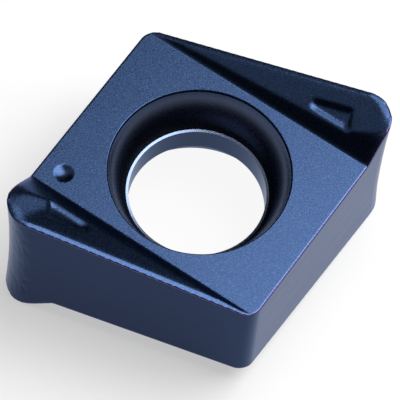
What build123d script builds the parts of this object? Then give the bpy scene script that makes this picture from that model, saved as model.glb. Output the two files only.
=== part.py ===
"""Double-sided rhombic milling insert in coated carbide, with a screw hole right through it.

The hole's axis is Z and the long diagonal of the rhombus is X. Z = 0 is the plane that the two lower noses stand on.
Both faces are alike: turning the insert over about X or Y brings a fresh pair of cutting edges into place.
"""

import os
from math import cos, radians, sin, tan

from build123d import *

# Rhombus, seen along the hole
inscribed = 6.35  # circle that touches all four flanks
acute = 76.0  # degrees between the flanks at a nose
nose_radius = 0.70
heel_radius = 0.40  # rounding of the two obtuse corners
nose_clearance = 0.13  # how much rounder each nose is at mid height, which hollows its flank

# Heights
seat_thickness = 2.93  # between the two flat seating faces
nose_rise = 0.64  # how far each nose stands over its seating face

# Cutting corners, the same four times
seat_half = 2.43  # from the hole's axis to the foot of each ramp
foot_radius = 0.12  # hollow rounding at that foot
ramp_angle = 40.0  # degrees that a ramp climbs
ramp_straight = 0.42  # level length of a ramp before it rounds over towards the nose
land_width = 0.15  # strip beside the main cutting edge
land_widening = 0.18  # how much wider that strip gets round the nose
rake_angle = 20.0  # degrees that the chip face falls away from the strip
turn_angle = 8.0  # degrees from the nose's tip, on the main edge's side, where the chip face ends its turn

# Pocket in each chip face, measured along the main edge and inwards from the strip
pocket_start = 1.34  # from the nose's rounding back to the narrow end
pocket_end = 0.25  # and to the wide end
pocket_inset = 0.375  # from the strip to the pocket's near side
pocket_narrow = 0.265
pocket_wide = 0.565
pocket_depth = 0.06
pocket_wall = 0.11  # how far its walls spread from the floor up to the chip face
pocket_narrow_rounding = 0.025  # corners of the floor's outline, at its narrow end
pocket_wide_rounding = 0.13

# Screw hole, from each seating face inwards
rim_radius = 2.16
rim_rounding = 0.07
entry_depth = 0.20  # straight part of the entry wall
entry_draft = 8.0  # degrees that it closes in
throat_radius = 1.80
throat_width = 0.09  # width of the lip between the bell and the ring round the bore
throat_drop = 0.08
bore_radius = 1.65
bore_length = 0.72
ring_fall = 0.015  # how far the ring between the lip and the bore falls towards the bore

# Index mark on the upper seating face, beside one nose
mark_place = (-3.09, 0.85)
mark_radius = 0.235
mark_depth = 0.06

half = radians(acute / 2)
seat_level = seat_thickness / 2  # heights of a corner count from mid height
nose_level = seat_level + nose_rise
reach = 2 * inscribed  # longer than anything that a cutter has to pass

# Directions in the plane, for the nose at +X on the upper face
along_main = Vector(cos(half), -sin(half))
off_main = Vector(sin(half), cos(half))
along_side = Vector(cos(half), sin(half))
off_side = Vector(sin(half), -cos(half))

# The main cutting edge climbs evenly from the obtuse corner to where the nose's rounding begins
edge_start = -inscribed / 2 * tan(half)
edge_end = (inscribed / 2 - nose_radius) / tan(half)
edge_slope = nose_rise / (edge_end - edge_start)
rake_slope = tan(radians(rake_angle))

# The four cutting corners are the +X upper one, turned by half a turn about Z, X or Y
corners = [
    Plane(origin=(0, 0, nose_level), x_dir=(turn, 0, 0), z_dir=(0, 0, face))
    for face in (1, -1)
    for turn in (1, -1)
]
upper, lower = corners[0], corners[2]


def climbing_plane(inset, fall):
    """Plane along the main edge, through the line that lies inset from it, falling inwards by fall."""
    rise = along_main * edge_slope + off_main * fall
    nearest = off_main * (inscribed / 2 - inset) + along_main * edge_end
    return Plane(
        origin=nearest + Vector(0, 0, nose_level),
        x_dir=along_main + Vector(0, 0, edge_slope),
        z_dir=Vector(-rise.X, -rise.Y, 1),
    )


# Everything over a seating face and its two ramps
with BuildPart() as seat_cut:
    with BuildSketch(Plane(origin=(0, 0, seat_level), x_dir=along_side, z_dir=off_side)):
        with BuildLine():
            ramp_height = ramp_straight * tan(radians(ramp_angle))
            crest_radius = (nose_rise - ramp_height) / (1 - cos(radians(ramp_angle)))
            foot = Line((0, 0), (seat_half - foot_radius * tan(radians(ramp_angle / 2)), 0))
            hollow = JernArc(foot @ 1, foot % 1, foot_radius, ramp_angle)
            ramp = Line(hollow @ 1, (seat_half + ramp_straight, ramp_height))
            crest = JernArc(ramp @ 1, ramp % 1, crest_radius, -ramp_angle)
            top = Line(crest @ 1, (crest @ 1).X * Vector(1, 0) + Vector(0, reach))
            Line(top @ 1, (0, reach))
            mirror(about=Plane.YZ)
        make_face()
    extrude(amount=reach, both=True)

# Everything outside the foot of the +X ramp
ramp_foot = Plane(origin=along_side * seat_half, x_dir=(0, 0, 1), z_dir=along_side)

# Everything over the strip beside the main edge
with BuildPart() as land_cut:
    with BuildSketch(climbing_plane(0, 0)):
        Rectangle(2 * reach, 2 * reach)
    extrude(amount=reach)
    split(bisect_by=ramp_foot, keep=Keep.TOP)

# The chip face turns round the nose about a point of its own, where it is deepest
turn_point = along_main * (edge_end - land_widening)
turn_plane = Plane(origin=turn_point, x_dir=(0, 0, 1), z_dir=along_main)
turn_centre = turn_point + off_main * (inscribed / 2 - nose_radius)
turn_depth = edge_slope * land_widening + rake_slope * (nose_radius - land_width)
turn_level = nose_level - turn_depth

# Everything over the chip face's two flat parts, one along the main edge and one beyond the turn
chip_plane = climbing_plane(land_width, rake_slope)
turn_finish = Vector(cos(radians(turn_angle)), sin(radians(turn_angle)))
tip_plane = Plane(
    origin=turn_centre + Vector(0, 0, turn_level),
    z_dir=Vector(0, 0, 1) - rake_slope * turn_finish,
)
with BuildPart() as chip_cut:
    with BuildSketch(chip_plane):
        with Locations((0, -reach)):
            Rectangle(2 * reach, 2 * reach)
    extrude(amount=reach)
    split(bisect_by=ramp_foot, keep=Keep.TOP)
    split(bisect_by=tip_plane, keep=Keep.TOP)
    with BuildSketch(Plane(origin=turn_centre, x_dir=(1, 0, 0), z_dir=(0, 0, 1))):
        Polygon((0, 0), reach * turn_finish, reach * off_main)
    extrude(amount=2 * reach, mode=Mode.SUBTRACT)

# Everything over the round end of the chip face, a cone that falls towards the point that it turns about
with BuildPart() as turn_cut:
    with BuildSketch(Plane(origin=turn_centre, x_dir=(1, 0, 0), z_dir=(0, -1, 0))):
        with BuildLine():
            Polyline((0, turn_level), (reach, turn_level + rake_slope * reach), (0, 2 * reach), close=True)
        make_face()
    revolve(axis=Axis(turn_centre, (0, 0, 1)))
    split(bisect_by=turn_plane, keep=Keep.TOP)

# Pocket: its walls go on up past the chip face at the same slope
with BuildPart() as pocket_cut:
    for step in (-1, 2):
        with BuildSketch(chip_plane.offset(step * pocket_depth)):
            Polygon(
                (-pocket_start, -pocket_inset),
                (-pocket_end, -pocket_inset),
                (-pocket_end, -pocket_inset - pocket_wide),
                (-pocket_start, -pocket_inset - pocket_narrow),
            )
            offset(amount=step * pocket_wall, kind=Kind.INTERSECTION, mode=Mode.REPLACE)
            endways = vertices().sort_by(Axis.X)
            fillet(endways[:2], radius=pocket_narrow_rounding + (step + 1) * pocket_wall)
            fillet(endways[2:], radius=pocket_wide_rounding + (step + 1) * pocket_wall)
    loft()

# Screw hole, the same from both faces
with BuildPart() as hole_cut:
    with BuildSketch(Plane.XZ):
        with BuildLine():
            lip_level = bore_length / 2 + ring_fall
            above = Line((0, reach), (rim_radius + rim_rounding, reach))
            mouth = Line(above @ 1, (rim_radius + rim_rounding, seat_level))
            rounding = JernArc(mouth @ 1, (-1, 0), rim_rounding, 90 - entry_draft)
            entry = Line(rounding @ 1, rounding @ 1 + entry_depth * (rounding % 1))
            bell = TangentArc(entry @ 1, (throat_radius, lip_level + throat_drop), tangent=entry % 1)
            lip = Line(bell @ 1, (throat_radius - throat_width, lip_level))
            ring = Line(lip @ 1, (bore_radius, bore_length / 2))
            Polyline(ring @ 1, (bore_radius, 0), (0, 0), above @ 0)
        make_face()
        mirror(about=Plane.XZ)
    revolve(axis=Axis.Z)

# Index mark: a shallow spherical dent
with BuildPart() as mark_cut:
    ball_radius = (mark_radius**2 + mark_depth**2) / (2 * mark_depth)
    with Locations(Vector(*mark_place) + Vector(0, 0, seat_level + ball_radius - mark_depth)):
        Sphere(ball_radius)

# Everything outside the rounding of the +X nose, which is rounder at mid height
with BuildPart() as nose_cut:
    for height, extra in ((-nose_level, 0), (0, nose_clearance), (nose_level, 0)):
        with BuildSketch(Plane.XY.offset(height)):
            with BuildLine():
                radius = nose_radius + extra
                centre = ((inscribed / 2 - radius) / sin(half), 0)
                nose_arc = CenterArc(centre, radius, acute / 2 - 90, 180 - acute)
                Line(nose_arc @ 0, nose_arc @ 0 + inscribed * off_side)
                Line(nose_arc @ 0 + inscribed * off_side, nose_arc @ 1 + inscribed * off_main)
                Line(nose_arc @ 1 + inscribed * off_main, nose_arc @ 1)
            make_face()
    loft()

# The rhombus with its obtuse corners rounded, cut to shape from both faces
with BuildPart() as insert:
    with BuildSketch():
        Polygon(
            (inscribed / 2 / sin(half), 0),
            (0, inscribed / 2 / cos(half)),
            (-inscribed / 2 / sin(half), 0),
            (0, -inscribed / 2 / cos(half)),
        )
        endways = vertices().sort_by(Axis.Y)
        fillet([endways[0], endways[-1]], radius=heel_radius)
    extrude(amount=2 * nose_level)
    with Locations(*corners[:2]):
        add(nose_cut.part, mode=Mode.SUBTRACT)
    with Locations(upper, lower):
        add(seat_cut.part, mode=Mode.SUBTRACT)
    with Locations(*corners):
        add(land_cut.part, mode=Mode.SUBTRACT)
        add(chip_cut.part, mode=Mode.SUBTRACT)
        add(turn_cut.part, mode=Mode.SUBTRACT)
        add(pocket_cut.part, mode=Mode.SUBTRACT)
    with Locations(upper):
        add(hole_cut.part, mode=Mode.SUBTRACT)
        add(mark_cut.part, mode=Mode.SUBTRACT)
insert.part.label = "insert"

os.makedirs("parts", exist_ok=True)
export_step(insert.part, "parts/insert.step")
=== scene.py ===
"""Looks of a double-sided rhombic milling insert: satin blue coating over pressed and ground carbide.

The frame is the insert's own, in metres: the hole's axis is Z, the long diagonal is X, and the lower
noses touch Z = 0.
"""

from math import asin, cos, degrees, pi, radians, sin

import bmesh
import bpy
from mathutils import Matrix, Vector


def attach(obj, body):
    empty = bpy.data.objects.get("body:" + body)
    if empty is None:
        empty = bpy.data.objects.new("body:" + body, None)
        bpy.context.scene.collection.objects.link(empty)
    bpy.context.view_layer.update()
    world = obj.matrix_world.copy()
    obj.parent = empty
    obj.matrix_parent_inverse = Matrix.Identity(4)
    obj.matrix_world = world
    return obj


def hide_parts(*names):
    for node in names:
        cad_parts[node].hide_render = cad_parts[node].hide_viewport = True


MM = 0.001

# The insert and its hole, in millimetres and degrees
SEAT_LEVEL = 3.57
MID_LEVEL = 2.105
INSCRIBED = 6.35
FLANK_TURN = 52.0
LAND_WIDTH = 0.15
RIM_RADIUS = 2.16
RIM_ROUNDING = 0.07
ENTRY_DEPTH = 0.20
ENTRY_DRAFT = 8.0
THROAT_RADIUS = 1.80
THROAT_WIDTH = 0.09
THROAT_DROP = 0.08
BORE_RADIUS = 1.65
BORE_LENGTH = 0.72
RING_FALL = 0.015
RING_MIDDLE = (THROAT_RADIUS - THROAT_WIDTH + BORE_RADIUS) / 2
RING_HALF = (THROAT_RADIUS - THROAT_WIDTH - BORE_RADIUS) / 2

# Worn edges and soft recesses, in millimetres and degrees: the grain of the remeshed skin, its turn to the
# flanks, how often edges and recesses are smoothed, and the share of the triangles that is kept
EDGE_GRAIN = 0.024
EDGE_TURN = 90.0 - FLANK_TURN
EDGE_ROUNDS = 10
RECESS_LIFT = 0.01
RECESS_ROUNDS = 20
SMOOTHING = 0.5
KEPT_SHARE = 0.22

# The hole's cutter, in millimetres, and the angle in degrees over which the hole's edges stay sharp
RIM_LIFT = 0.004
CUTTER_RISE = 1.0
RIM_STEPS = 8
BELL_STEPS = 24
HOLE_STEPS = 160
CREASE = 25.0

# How near points or heights count as the same, in millimetres, and the least lean of a face in a seat
BLANK_WELD = 0.001
CUTTER_WELD = 0.0001
SLACK = 0.002
SEAT_LEAN = 0.98

# Where each zone of the coating starts and where it is full: by the surface's lean, which is 0 when upright
# and 1 when level, or in millimetres from the hole's axis, from the ring's middle or in from a flank
UPRIGHT = (0.55, 0.20)
LEVEL = (0.60, 0.90)
OFF_UPRIGHT = (0.05, 0.35)
OFF_LEVEL = (0.99, 0.90)
EDGE_BAND = (0.14, 0.05)
OUTSIDE_HOLE = (2.3, 2.4)
INSIDE_HOLE = (2.2, 2.1)
INSIDE_BORE = (RING_MIDDLE + 0.02, RING_MIDDLE - 0.01)
RING_HIGHLIGHT_BAND = (RING_HALF + 0.02, RING_HALF)

# Textures, in features per millimetre along each direction, and the height of the relief in metres
SPECKLE = 26.0
SPARKLE = 38.0
CLOUD = 1.1
GRINDING = (0.5, 0.5, 26.0)
RELIEF = 0.004 * MM

# Colours of the coating
PRESSED_DARK = (0.019, 0.036, 0.084, 1)
PRESSED_LIGHT = (0.040, 0.073, 0.158, 1)
PRESSED_CLOUD = (0.026, 0.048, 0.112, 1)
PRESSED_SPARKLE = (0.080, 0.130, 0.260, 1)
# Painted shade, in part: the ground flanks' blues are darker than their finish alone, standing in for the
# dark surroundings they mirror
GROUND_DARK_PAINTED_SHADE = (0.002, 0.006, 0.024, 1)
GROUND_LIGHT_PAINTED_SHADE = (0.006, 0.014, 0.052, 1)
GROUND_SPARKLE_PAINTED_SHADE = (0.030, 0.038, 0.085, 1)
WALL_DARK = (0.050, 0.060, 0.096, 1)
WALL_LIGHT = (0.070, 0.084, 0.130, 1)
BORE_BLUE = (0.022, 0.034, 0.066, 1)
# Painted highlight: the ring over the bore gets a brighter blue that stands in for the light it mirrors
RING_PAINTED_HIGHLIGHT = (0.130, 0.170, 0.260, 1)
EDGE_VIOLET = (0.130, 0.120, 0.270, 1)
GLANCING_BLUE = (0.72, 0.80, 1.0, 1)

# Camera, in degrees and metres: turned round the hole's axis, raised and rolled a little
VIEW_TURN = 23.407
VIEW_RISE = 62.161
VIEW_ROLL = 6.305
VIEW_REACH = 89.73 * MM
VIEW_WIDTH = 9.4336 * MM
AIM_ASIDE = 0.006 * MM
AIM_BELOW = 0.678 * MM
SENSOR = 36

# Room: its grey, and the white and the side in metres of its paper floor. The glow is the share of plain
# white that the camera and the metal see in the paper, at large and, as a painted pool of light, in a disc
# under the hole. The disc lies aside of the hole's axis, away from the camera, and fades at its rim, in
# millimetres.
ROOM_GREY = 0.012
PAPER_WHITE = 0.9
FLOOR_SIDE = 1.0
FLOOR_GLOW = 0.5
HOLE_PAINTED_LIGHT = 0.92
PAINTED_LIGHT_SHIFT = 0.6
PAINTED_LIGHT_FADE = (BORE_RADIUS + 0.35, BORE_RADIUS + 0.6)


class Value:
    """A shader socket that can be used in Python expressions."""

    def __init__(self, paint, socket):
        self.paint = paint
        self.socket = socket

    def _join(self, operation, first, second):
        return self.paint.node("ShaderNodeMath", {"operation": operation}, [first, second])

    def __add__(self, other):
        return self._join("ADD", self, other)

    def __radd__(self, other):
        return self._join("ADD", other, self)

    def __sub__(self, other):
        return self._join("SUBTRACT", self, other)

    def __rsub__(self, other):
        return self._join("SUBTRACT", other, self)

    def __mul__(self, other):
        return self._join("MULTIPLY", self, other)

    def __rmul__(self, other):
        return self._join("MULTIPLY", other, self)

    def __pow__(self, other):
        return self._join("POWER", self, other)

    def __rpow__(self, other):
        return self._join("POWER", other, self)

    def __abs__(self):
        return self.paint.node("ShaderNodeMath", {"operation": "ABSOLUTE"}, [self])


class Paint:
    """A node material with one Principled shader."""

    def __init__(self, name):
        self.material = bpy.data.materials.new(name)
        self.material.use_nodes = True
        self.tree = self.material.node_tree
        self.shader = self.tree.nodes["Principled BSDF"]

    def fill(self, socket, given):
        """Links a value to a socket, or sets the socket to a number or colour."""
        if isinstance(given, Value):
            self.tree.links.new(given.socket, socket)
        else:
            socket.default_value = given

    def node(self, kind, settings, inputs, output=0):
        """Adds a node: its settings first, then the values or links of its sockets."""
        made = self.tree.nodes.new(kind)
        for name, setting in settings.items():
            setattr(made, name, setting)
        pairs = inputs.items() if isinstance(inputs, dict) else enumerate(inputs)
        for key, given in pairs:
            self.fill(made.inputs[key], given)
        return Value(self, made.outputs[output])

    def feed(self, **sockets):
        """Sets or links sockets of the shader; an underscore in a name stands for a space."""
        for name, given in sockets.items():
            self.fill(self.shader.inputs[name.replace("_", " ")], given)

    def place(self):
        """Object coordinates in millimetres."""
        spot = self.node("ShaderNodeTexCoord", {}, [], "Object")
        return self.node("ShaderNodeVectorMath", {"operation": "SCALE"}, {0: spot, "Scale": 1 / MM})

    def noise(self, where, scale, detail, roughness=0.5):
        """Noise around 0.5; its scale is the number of features per unit of length."""
        inputs = {"Vector": where, "Scale": scale, "Detail": detail, "Roughness": roughness}
        return self.node("ShaderNodeTexNoise", {}, inputs)

    def between(self, value, low, high, new_low=0.0, new_high=1.0):
        """Takes the range from low to high to the new one, and holds its ends beyond it."""
        return self.node("ShaderNodeMapRange", {}, [value, low, high, new_low, new_high])

    def blend(self, factor, first, second):
        """Mix of two colours."""
        made = self.tree.nodes.new("ShaderNodeMix")
        made.data_type = "RGBA"
        for key, given in (("Factor", factor), ("A", first), ("B", second)):
            self.fill(next(s for s in made.inputs if s.name == key and s.enabled), given)
        return Value(self, next(s for s in made.outputs if s.enabled))


def coating_zones(paint, spot):
    """Masks of the ground flanks, the hole's walls, its bore, the ring over the bore and the sharp edges."""
    x, y = (paint.node("ShaderNodeSeparateXYZ", {}, [spot], axis) for axis in "XY")
    facing = paint.node("ShaderNodeTexCoord", {}, [], "Normal")
    lean = abs(paint.node("ShaderNodeSeparateXYZ", {}, [facing], "Z"))
    out = (x * x + y * y) ** 0.5
    inset = INSCRIBED / 2 - abs(x) * cos(radians(FLANK_TURN)) - abs(y) * sin(radians(FLANK_TURN))
    ground = paint.between(lean, *UPRIGHT) * paint.between(out, *OUTSIDE_HOLE)
    walls = paint.between(out, *INSIDE_HOLE)
    bore = paint.between(out, *INSIDE_BORE)
    # Mask of the ring over the bore, where a highlight is painted into the colour
    ring = paint.between(abs(out - RING_MIDDLE), *RING_HIGHLIGHT_BAND) * paint.between(lean, *LEVEL)
    slanted = paint.between(lean, *OFF_UPRIGHT) * paint.between(lean, *OFF_LEVEL)
    edge = slanted * paint.between(inset, *EDGE_BAND)
    return ground, walls, bore, ring, edge


def pressed_blue(paint, spot, speckle, sparkle):
    """Blue of the pressed faces: fine speckle, a few wide clouds and bright specks."""
    grainy = paint.blend(paint.between(speckle, 0.34, 0.74), PRESSED_DARK, PRESSED_LIGHT)
    cloud = paint.noise(spot, CLOUD, detail=2.0)
    cloudy = paint.blend(paint.between(cloud, 0.3, 0.7, 0.0, 0.4), grainy, PRESSED_CLOUD)
    return paint.blend(sparkle * 0.7, cloudy, PRESSED_SPARKLE)


def ground_blue_and_painted_shade(paint, scratches, sparkle):
    """Deep blue of the ground flanks, with grinding lines; the blue is partly their ground finish and partly
    painted shade, darker than the finish alone, for the dark surroundings that the upright sides mirror.
    """
    lined = paint.blend(paint.between(scratches, 0.3, 0.7), GROUND_DARK_PAINTED_SHADE, GROUND_LIGHT_PAINTED_SHADE)
    return paint.blend(sparkle * 0.5, lined, GROUND_SPARKLE_PAINTED_SHADE)


def wall_blue(paint, speckle, bore):
    """Greyer blue of the hole's walls, darker in the bore."""
    grainy = paint.blend(paint.between(speckle, 0.32, 0.68), WALL_DARK, WALL_LIGHT)
    return paint.blend(bore, grainy, BORE_BLUE)


def coated_carbide():
    """Satin blue coating: speckled where pressed, lined where ground and there darkened in part by painted
    shade, a painted highlight on the ring over the bore, violet on the sharp edges.
    """
    paint = Paint("coated_carbide_satin")
    spot = paint.place()
    ground, walls, bore, ring, edge = coating_zones(paint, spot)
    along = paint.node("ShaderNodeVectorMath", {"operation": "MULTIPLY"}, [spot, GRINDING])
    scratches = paint.noise(along, 1.0, detail=4.0, roughness=0.6)
    speckle = paint.noise(spot, SPECKLE, detail=3.0, roughness=0.65)
    sparkle = paint.between(paint.noise(spot, SPARKLE, detail=2.0, roughness=0.7), 0.56, 0.74)

    pressed = pressed_blue(paint, spot, speckle, sparkle)
    # Ground flanks: their own ground finish, and painted shade in their darker blue
    colour = paint.blend(ground, pressed, ground_blue_and_painted_shade(paint, scratches, sparkle))
    colour = paint.blend(walls, colour, wall_blue(paint, speckle, bore))
    # Painted highlight on the ring over the bore
    colour = paint.blend(ring, colour, RING_PAINTED_HIGHLIGHT)
    colour = paint.blend(edge * paint.between(speckle, 0.3, 0.6, 0.4, 1.0), colour, EDGE_VIOLET)

    satin = paint.between(speckle, 0.3, 0.7, 0.24, 0.34)
    polish = paint.between(scratches, 0.3, 0.7, 0.20, 0.28)
    relief = speckle * (1 - ground) + scratches * ground * 0.25
    bump = paint.node("ShaderNodeBump", {}, {"Strength": 0.22, "Distance": RELIEF, "Height": relief})
    paint.feed(
        Base_Color=colour,
        Metallic=1.0,
        Roughness=satin * (1 - ground) + polish * ground,
        Normal=bump,
        Specular_Tint=GLANCING_BLUE,
    )
    return paint.material


def floor_paint():
    """White paper that the camera, metal and glass see partly as plain white, mostly so in a painted pool of
    light under the hole.
    """
    paint = Paint("floor_white_painted_light_pool")
    paint.feed(Base_Color=(PAPER_WHITE, PAPER_WHITE, PAPER_WHITE, 1), Roughness=0.9, Specular_IOR_Level=0.0)
    rays = ("Is Camera Ray", "Is Glossy Ray", "Is Transmission Ray")
    camera_ray, glossy_ray, passing_ray = (paint.node("ShaderNodeLightPath", {}, [], ray) for ray in rays)
    seen = camera_ray + glossy_ray + passing_ray
    glow = paint.node("ShaderNodeEmission", {}, {"Color": (1, 1, 1, 1), "Strength": 1.0})
    body = Value(paint, paint.shader.outputs["BSDF"])
    painted_light_centre = (sin(radians(VIEW_TURN)) * PAINTED_LIGHT_SHIFT, cos(radians(VIEW_TURN)) * PAINTED_LIGHT_SHIFT, 0)
    out = paint.node("ShaderNodeVectorMath", {"operation": "DISTANCE"}, [paint.place(), painted_light_centre], "Value")
    # Painted pool of light: the paper glows more in the disc under the hole, though no lamp lights it there
    share = paint.between(out, *PAINTED_LIGHT_FADE, HOLE_PAINTED_LIGHT, FLOOR_GLOW)
    both = paint.node("ShaderNodeMixShader", {}, [seen * share, body, glow])
    paint.fill(paint.tree.nodes["Material Output"].inputs["Surface"], both)
    return paint.material


def camera():
    """Camera high up in front, a little to the left, aimed just below the middle of the upper seat."""
    turn, rise, roll = radians(VIEW_TURN), radians(VIEW_RISE), radians(VIEW_ROLL)
    back = Vector((-sin(turn) * cos(rise), -cos(turn) * cos(rise), sin(rise)))
    level = Vector((cos(turn), -sin(turn), 0))
    upright = back.cross(level)
    right = level * cos(roll) + upright * sin(roll)
    up = upright * cos(roll) - level * sin(roll)
    centre = Vector((0, 0, SEAT_LEVEL * MM))
    stand = centre + back * VIEW_REACH
    aim = centre + right * AIM_ASIDE - up * AIM_BELOW
    axis = (stand - aim).normalized()
    side = up.cross(axis).normalized()
    data = bpy.data.cameras.new("camera")
    data.sensor_width = SENSOR
    data.lens = SENSOR * (stand - aim).length / VIEW_WIDTH
    data.clip_start = VIEW_REACH / 20
    data.clip_end = VIEW_REACH * 50
    holder = bpy.data.objects.new("camera", data)
    bpy.context.scene.collection.objects.link(holder)
    facing = Matrix((side, axis.cross(side), axis)).transposed().to_4x4()
    holder.matrix_world = Matrix.Translation(stand) @ facing
    bpy.context.scene.camera = holder


def softbox(name, direction, distance, size, strength):
    """Square softbox that faces the insert; strength is the brightness that a mirror would show."""
    data = bpy.data.lights.new(name, "AREA")
    data.shape = "SQUARE"
    data.size = size
    data.energy = strength * size * size * pi
    lamp = bpy.data.objects.new(name, data)
    bpy.context.scene.collection.objects.link(lamp)
    away = Vector(direction).normalized()
    turned = Matrix.Rotation(-radians(VIEW_TURN), 3, "Z") @ away
    lamp.location = Vector((0, 0, SEAT_LEVEL * MM)) + turned * distance
    lamp.rotation_mode = "QUATERNION"
    lamp.rotation_quaternion = turned.to_track_quat("Z", "Y")


def floor():
    bpy.ops.mesh.primitive_plane_add(size=FLOOR_SIDE)
    plane = bpy.context.object
    plane.name = "floor"
    plane.data.materials.append(floor_paint())


def surroundings():
    world = bpy.data.worlds.new("room")
    world.use_nodes = True
    world.node_tree.nodes["Background"].inputs["Color"].default_value = (ROOM_GREY, ROOM_GREY, ROOM_GREY, 1)
    bpy.context.scene.world = world


def studio():
    """Dark room with a paper floor, a bright softbox high on the right and a weak one high on the left."""
    surroundings()
    floor()
    softbox("key", direction=(0.42, 0.22, 0.875), distance=0.12, size=0.108, strength=6.2)
    softbox("fill", direction=(-0.52, 0.08, 0.85), distance=0.13, size=0.10, strength=0.42)


def raw_object(name, form):
    """New object with the mesh of a form; the form itself is used up."""
    mesh = bpy.data.meshes.new(name)
    form.to_mesh(mesh)
    form.free()
    made = bpy.data.objects.new(name, mesh)
    bpy.context.scene.collection.objects.link(made)
    return made


def applied(thing):
    """The mesh of a thing with its modifiers applied; the thing itself is used up."""
    mesh = bpy.data.meshes.new_from_object(thing.evaluated_get(bpy.context.evaluated_depsgraph_get()))
    bpy.data.objects.remove(thing)
    return mesh


def hole_profile(form):
    """Outline of the upper half of the hole's cutter, in the XZ plane from its top down to mid height."""
    last = form.verts.new((0, 0, SEAT_LEVEL + CUTTER_RISE))

    def line(x, z):
        nonlocal last
        made = bmesh.ops.extrude_vert_indiv(form, verts=[last])["verts"][0]
        made.co = (x, 0, z)
        last = made

    def arc(x, z, sweep, steps):
        nonlocal last
        turn = {"cent": (x, 0, z), "axis": (0, -1, 0), "angle": radians(sweep), "steps": steps}
        spun = bmesh.ops.spin(form, geom=[last], **turn)
        last = next(item for item in spun["geom_last"] if isinstance(item, bmesh.types.BMVert))

    mouth = RIM_RADIUS + RIM_ROUNDING
    line(mouth, SEAT_LEVEL + CUTTER_RISE)
    line(mouth, SEAT_LEVEL + RIM_LIFT)
    arc(mouth, SEAT_LEVEL + RIM_LIFT - RIM_ROUNDING, 90 - ENTRY_DRAFT, RIM_STEPS)
    inward, down = sin(radians(ENTRY_DRAFT)), cos(radians(ENTRY_DRAFT))
    line(last.co.x - ENTRY_DEPTH * inward, last.co.z - ENTRY_DEPTH * down)
    bore_top = MID_LEVEL + BORE_LENGTH / 2
    lip_level = bore_top + RING_FALL
    run = Vector((last.co.x - THROAT_RADIUS, last.co.z - lip_level - THROAT_DROP))
    bell_radius = run.length_squared / (2 * (run.x * down - run.y * inward))
    bell_sweep = 2 * degrees(asin(run.length / 2 / bell_radius))
    arc(last.co.x - bell_radius * down, last.co.z + bell_radius * inward, -bell_sweep, BELL_STEPS)
    line(THROAT_RADIUS - THROAT_WIDTH, lip_level)
    line(BORE_RADIUS, bore_top)
    line(BORE_RADIUS, MID_LEVEL)


def hole_cutter():
    """The screw hole as a turned plug, the same from both faces."""
    form = bmesh.new()
    hole_profile(form)
    half = list(form.verts) + list(form.edges)
    other = bmesh.ops.duplicate(form, geom=half)["geom"]
    points = [item for item in other if isinstance(item, bmesh.types.BMVert)]
    bmesh.ops.scale(form, vec=(1, 1, -1), verts=points)
    bmesh.ops.translate(form, vec=(0, 0, 2 * MID_LEVEL), verts=points)
    bmesh.ops.remove_doubles(form, verts=form.verts, dist=CUTTER_WELD)
    outline = list(form.verts) + list(form.edges)
    bmesh.ops.spin(form, geom=outline, axis=(0, 0, 1), angle=2 * pi, steps=HOLE_STEPS, use_merge=True)
    bmesh.ops.remove_doubles(form, verts=form.verts, dist=CUTTER_WELD)
    bmesh.ops.recalc_face_normals(form, faces=form.faces)
    return raw_object("hole_cutter", form)


def plugged_blank(node):
    """The insert in millimetres, its hole plugged level with the seats, turned to line up with the grain."""
    form = bmesh.new()
    form.from_mesh(node.data)
    bmesh.ops.remove_doubles(form, verts=form.verts, dist=BLANK_WELD * MM)
    bmesh.ops.scale(form, vec=Vector((1, 1, 1)) / MM, verts=form.verts)
    mouth = RIM_RADIUS + RIM_ROUNDING + SLACK
    hole = [face for face in form.faces if all(corner.co.xy.length < mouth for corner in face.verts)]
    bmesh.ops.delete(form, geom=hole, context="FACES")
    bmesh.ops.holes_fill(form, edges=[edge for edge in form.edges if edge.is_boundary])
    bmesh.ops.rotate(form, matrix=Matrix.Rotation(radians(EDGE_TURN), 3, "Z"), verts=form.verts)
    return raw_object("plugged_blank", form)


def in_recess(point):
    """Whether a point stands over a seat and lies inside the lands along the flanks."""
    raised = abs(point.co.z - MID_LEVEL) > SEAT_LEVEL - MID_LEVEL + RECESS_LIFT
    reach = abs(point.co.x) * cos(radians(FLANK_TURN)) + abs(point.co.y) * sin(radians(FLANK_TURN))
    return raised and reach < INSCRIBED / 2 - LAND_WIDTH


def softened_skin(blank):
    """The blank with broken edges everywhere and softer ridges in the pressed recesses of the noses."""
    skin = blank.modifiers.new("skin", "REMESH")
    skin.mode = "VOXEL"
    skin.voxel_size = EDGE_GRAIN
    tumble = blank.modifiers.new("tumble", "SMOOTH")
    tumble.factor = SMOOTHING
    tumble.iterations = EDGE_ROUNDS
    form = bmesh.new()
    form.from_mesh(applied(blank))
    bmesh.ops.rotate(form, matrix=Matrix.Rotation(-radians(EDGE_TURN), 3, "Z"), verts=form.verts)
    recess = [point for point in form.verts if in_recess(point)]
    every_way = {"use_axis_x": True, "use_axis_y": True, "use_axis_z": True}
    for _ in range(RECESS_ROUNDS):
        bmesh.ops.smooth_vert(form, verts=recess, factor=SMOOTHING, **every_way)
    return raw_object("skin", form)


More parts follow.
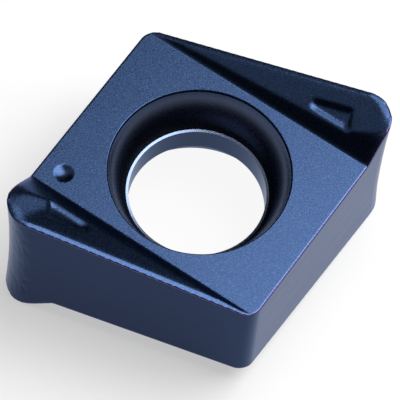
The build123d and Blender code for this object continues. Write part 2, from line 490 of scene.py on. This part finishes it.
def bored(skin):
    """The mesh of the skin, thinned and with the screw hole cut, in metres."""
    thin = skin.modifiers.new("thin", "DECIMATE")
    thin.ratio = KEPT_SHARE
    plug = hole_cutter()
    bore = skin.modifiers.new("bore", "BOOLEAN")
    bore.object = plug
    bore.solver = "MANIFOLD"
    mesh = applied(skin)
    bpy.data.objects.remove(plug)
    mesh.transform(Matrix.Scale(MM, 4))
    return mesh


def crease_hole(mesh):
    """Keeps the hole's edges sharp where their faces meet at more than the crease angle."""
    form = bmesh.new()
    form.from_mesh(mesh)
    for edge in form.edges:
        if all(end.co.xy.length < RIM_RADIUS * MM for end in edge.verts):
            edge.smooth = edge.calc_face_angle(0) < radians(CREASE)
    form.to_mesh(mesh)
    form.free()


def level_seats(mesh):
    """Shades both seating faces dead flat up to their worn edges."""
    normals = [corner.vector.copy() for corner in mesh.corner_normals]
    for face in mesh.polygons:
        if abs(face.normal.z) < SEAT_LEAN:
            continue
        for index in face.loop_indices:
            height = mesh.vertices[mesh.loops[index].vertex_index].co.z / MM - MID_LEVEL
            if abs(abs(height) + MID_LEVEL - SEAT_LEVEL) < SLACK:
                normals[index] = Vector((0, 0, 1 if height > 0 else -1))
    mesh.normals_split_custom_set(normals)


def coated_insert(node):
    """The insert with each pressed and ground edge broken by a few hundredths of a millimetre."""
    mesh = bored(softened_skin(plugged_blank(node)))
    mesh.name = "coated_insert"
    mesh.materials.clear()
    mesh.materials.append(coated_carbide())
    mesh.shade_smooth()
    crease_hole(mesh)
    level_seats(mesh)
    piece = bpy.data.objects.new("coated_insert", mesh)
    bpy.context.scene.collection.objects.link(piece)
    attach(piece, "root")
    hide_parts("insert")


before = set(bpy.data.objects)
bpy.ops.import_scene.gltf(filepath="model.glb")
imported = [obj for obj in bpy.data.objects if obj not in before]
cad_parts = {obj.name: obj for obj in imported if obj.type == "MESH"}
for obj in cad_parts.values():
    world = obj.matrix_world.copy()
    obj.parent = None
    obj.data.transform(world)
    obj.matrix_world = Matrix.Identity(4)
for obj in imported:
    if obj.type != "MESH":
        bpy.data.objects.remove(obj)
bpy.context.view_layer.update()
camera()
studio()
coated_insert(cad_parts["insert"])
bpy.context.scene.view_settings.view_transform = "Standard"
